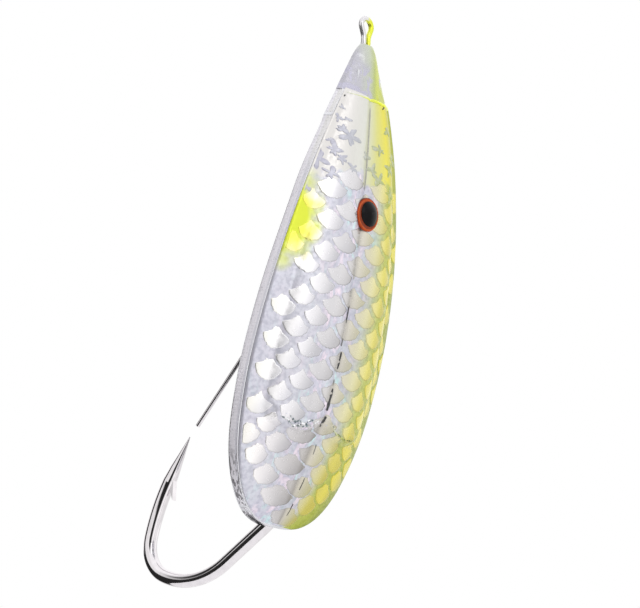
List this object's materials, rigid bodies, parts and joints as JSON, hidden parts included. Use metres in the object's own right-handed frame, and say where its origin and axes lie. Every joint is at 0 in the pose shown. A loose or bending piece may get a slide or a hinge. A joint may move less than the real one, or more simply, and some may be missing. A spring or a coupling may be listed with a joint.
{
  "type": "spoon lure",
  "caption": "Arched pear-shaped fishing spoon with scale foil, a fixed rear hook behind a sprung weed guard, a wire line tie at the nose and hidden rattles.",
  "frame": {"origin": "centre of the line-tie loop at the nose", "axes": "+Z along the blade from tail to nose, -Y out of the convex face, +Y towards the hook, +X towards the chartreuse side"},
  "size_m": [0.0272, 0.0304, 0.0853],
  "materials": {
    "foiled_blade": "polished nickel plate under silver scale foil",
    "cap": "gloss silver, shading to chartreuse on one side",
    "tie_wire": "bright wire, chartreuse overspray on one side",
    "hook_nickel": "polished nickel",
    "solder": "dull smooth solder",
    "fittings": "plain nickel",
    "guard_wire": "bright spring wire",
    "iris": "rust-coloured gloss",
    "pupil": "gloss black",
    "rattle_tube": "clear",
    "rattle_plug": "gloss",
    "rattle_ball": "polished steel"
  },
  "bodies": {
    "lure": {"blade": "foiled_blade", "nose_cap": "cap", "line_tie": "tie_wire", "hook": "hook_nickel", "tail_solder": "solder", "rivet": "fittings", "rivet_washer": "fittings", "guard_bracket": "fittings", "guard_pin": "fittings", "eye_iris": "iris", "eye_pupil": "pupil", "rattle_tube_left": "rattle_tube", "rattle_tube_right": "rattle_tube", "rattle_plugs_left": "rattle_plug", "rattle_plugs_right": "rattle_plug"},
    "guard": {"weed_guard": "guard_wire"},
    "balls_left": {"rattle_balls_left": "rattle_ball"},
    "balls_right": {"rattle_balls_right": "rattle_ball"}
  },
  "joints": [
    {"name": "guard_flex", "type": "hinge", "parent": "lure", "child": "guard", "pos_m": [0, -0.00035, -0.0312], "axis": [-1, 0, 0], "range_deg": [0, 16], "stiffness_Nm_per_rad": 0.08},
    {"name": "rattle_left", "type": "slide", "parent": "lure", "child": "balls_left", "axis": [0, 0, 1], "range_m": [0, 0.0099]},
    {"name": "rattle_right", "type": "slide", "parent": "lure", "child": "balls_right", "axis": [0, 0, 1], "range_m": [0, 0.0099]}
  ]
}
